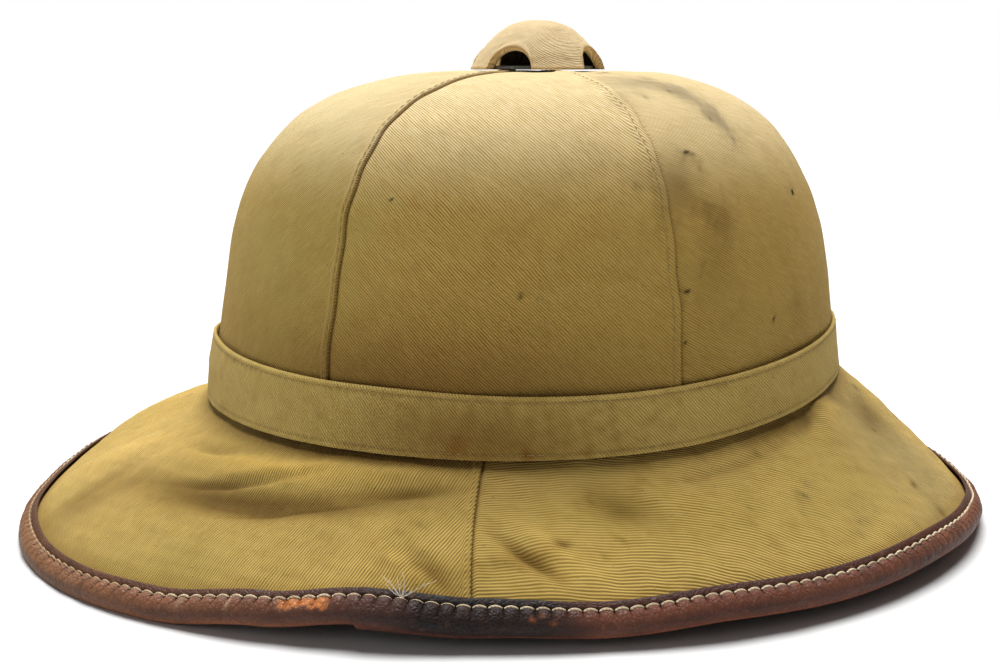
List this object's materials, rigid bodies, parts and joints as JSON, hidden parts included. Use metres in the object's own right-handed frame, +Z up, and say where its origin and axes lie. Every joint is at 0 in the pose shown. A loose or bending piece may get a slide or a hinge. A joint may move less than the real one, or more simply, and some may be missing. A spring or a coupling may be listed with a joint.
{
  "type": "pith helmet",
  "caption": "Cork-and-cloth sun helmet with a panelled crown, hat band, sloping brim, leather edge binding and an arched top ventilator.",
  "frame": {"origin": "centre of the helmet's outline on the plane that its rim rests on", "axes": "+X to the front brim, +Y to the wearer's left, +Z up through the crown"},
  "size_m": [0.3358, 0.2794, 0.1669],
  "materials": {
    "crown_cloth": "khaki cotton twill, matt, sun-faded and stained",
    "band_cloth": "khaki cotton twill, folded and topstitched",
    "brim_cloth": "khaki cotton twill, matt, creased and stained",
    "edge_leather": "reddish brown leather, stitched in cream thread, worn and cracked",
    "ventilator_cloth": "khaki cotton twill with fluffed arch edges",
    "ventilator_metal": "dull grey-blue paint"
  },
  "bodies": {
    "root": {"crown_panel_front": "crown_cloth", "crown_panel_left": "crown_cloth", "crown_panel_back": "crown_cloth", "crown_panel_right": "crown_cloth", "hat_band": "band_cloth", "brim_cover_front": "brim_cloth", "brim_cover_back": "brim_cloth", "brim_binding": "edge_leather", "ventilator_dome": "ventilator_cloth", "ventilator_base": "ventilator_metal"}
  },
  "joints": []
}
